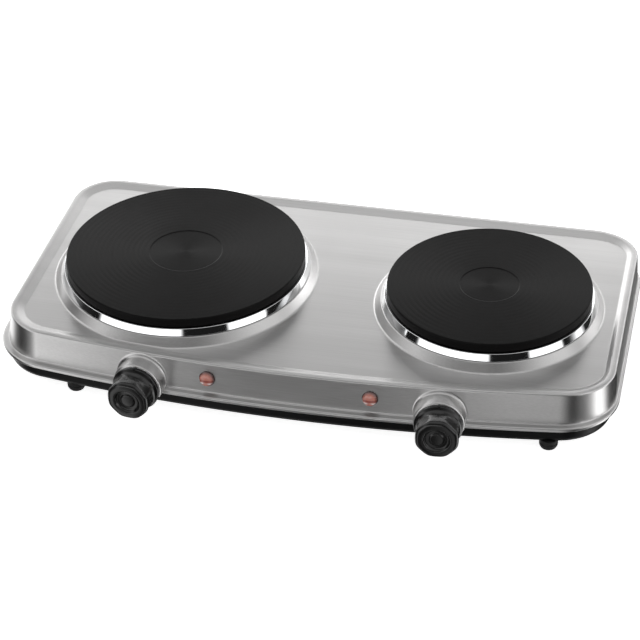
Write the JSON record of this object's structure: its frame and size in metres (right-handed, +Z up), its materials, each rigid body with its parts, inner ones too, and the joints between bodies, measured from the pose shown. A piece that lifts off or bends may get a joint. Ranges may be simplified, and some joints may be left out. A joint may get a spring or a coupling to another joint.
{
  "type": "hot plate burner",
  "caption": "Table-top electric hot plate with a large and a small cast-iron cooking plate, trim rings, front control knobs and pilot lights on a brushed-steel housing.",
  "frame": {"origin": "bottom centre of the whole object's box, on the table under the feet", "axes": "+X along the length towards the small plate, +Y to the back where the mains inlet is, +Z up"},
  "size_m": [0.473, 0.2726, 0.0657],
  "materials": {
    "brushed_steel": "brushed along the length",
    "black_paint": "satin black enamel",
    "cast_iron": "black coated, turned in fine rings",
    "chrome": "mirror polished",
    "element_sheath": "dark oxidised sheath",
    "zinc_steel": "zinc plated",
    "aluminium_sheet": "bright rolled",
    "ceramic": "unglazed",
    "black_plastic": "gloss black",
    "red_lens": "translucent red, polished",
    "lamp_glass": "clear",
    "spring_brass": "plain",
    "rubber": "matt",
    "lead_brown": "insulation",
    "lead_blue": "insulation",
    "lead_green": "insulation"
  },
  "bodies": {
    "root": {"top_housing": "brushed_steel", "base_pan": "black_paint", "cooking_plate_left": "cast_iron", "trim_ring_left": "chrome", "heating_element_left": "element_sheath", "element_cover_left": "zinc_steel", "clamp_bar_left": "zinc_steel", "centre_stud_left": "zinc_steel", "stud_nut_left": "zinc_steel", "heat_shield_left": "aluminium_sheet", "terminal_block_left": "ceramic", "cooking_plate_right": "cast_iron", "trim_ring_right": "chrome", "heating_element_right": "element_sheath", "element_cover_right": "zinc_steel", "clamp_bar_right": "zinc_steel", "centre_stud_right": "zinc_steel", "stud_nut_right": "zinc_steel", "heat_shield_right": "aluminium_sheet", "terminal_block_right": "ceramic", "thermostat_left": "ceramic", "bush_nut_left": "zinc_steel", "thermostat_right": "ceramic", "bush_nut_right": "zinc_steel", "pilot_lens_left": "red_lens", "neon_lamp_left": "lamp_glass", "lens_clip_left": "spring_brass", "pilot_lens_right": "red_lens", "neon_lamp_right": "lamp_glass", "lens_clip_right": "spring_brass", "foot_front_left": "rubber", "foot_screw_front_left": "zinc_steel", "foot_front_right": "rubber", "foot_screw_front_right": "zinc_steel", "foot_rear_left": "rubber", "foot_screw_rear_left": "zinc_steel", "foot_rear_right": "rubber", "foot_screw_rear_right": "zinc_steel", "base_screw_front_left": "zinc_steel", "base_screw_front_right": "zinc_steel", "base_screw_rear_left": "zinc_steel", "base_screw_rear_right": "zinc_steel", "cord_gland": "black_plastic", "mains_terminal": "ceramic", "cord_clamp": "black_plastic", "clamp_screw_left": "zinc_steel", "clamp_screw_right": "zinc_steel", "earth_tab": "spring_brass", "live_lead_left": "lead_brown", "switched_lead_left": "lead_brown", "neutral_lead_left": "lead_blue", "live_lead_right": "lead_brown", "switched_lead_right": "lead_brown", "neutral_lead_right": "lead_blue", "earth_lead": "lead_green"},
    "left_control": {"knob_left": "black_plastic", "control_shaft_left": "zinc_steel"},
    "right_control": {"knob_right": "black_plastic", "control_shaft_right": "zinc_steel"}
  },
  "joints": [
    {"name": "left_control_turn", "type": "hinge", "parent": "root", "child": "left_control", "pos_m": [-0.113, -0.11615, 0.0272], "axis": [0.0958, 0.9954, 0], "range_deg": [0, 280]},
    {"name": "right_control_turn", "type": "hinge", "parent": "root", "child": "right_control", "pos_m": [0.113, -0.11615, 0.0272], "axis": [-0.0958, 0.9954, 0], "range_deg": [0, 280]}
  ]
}
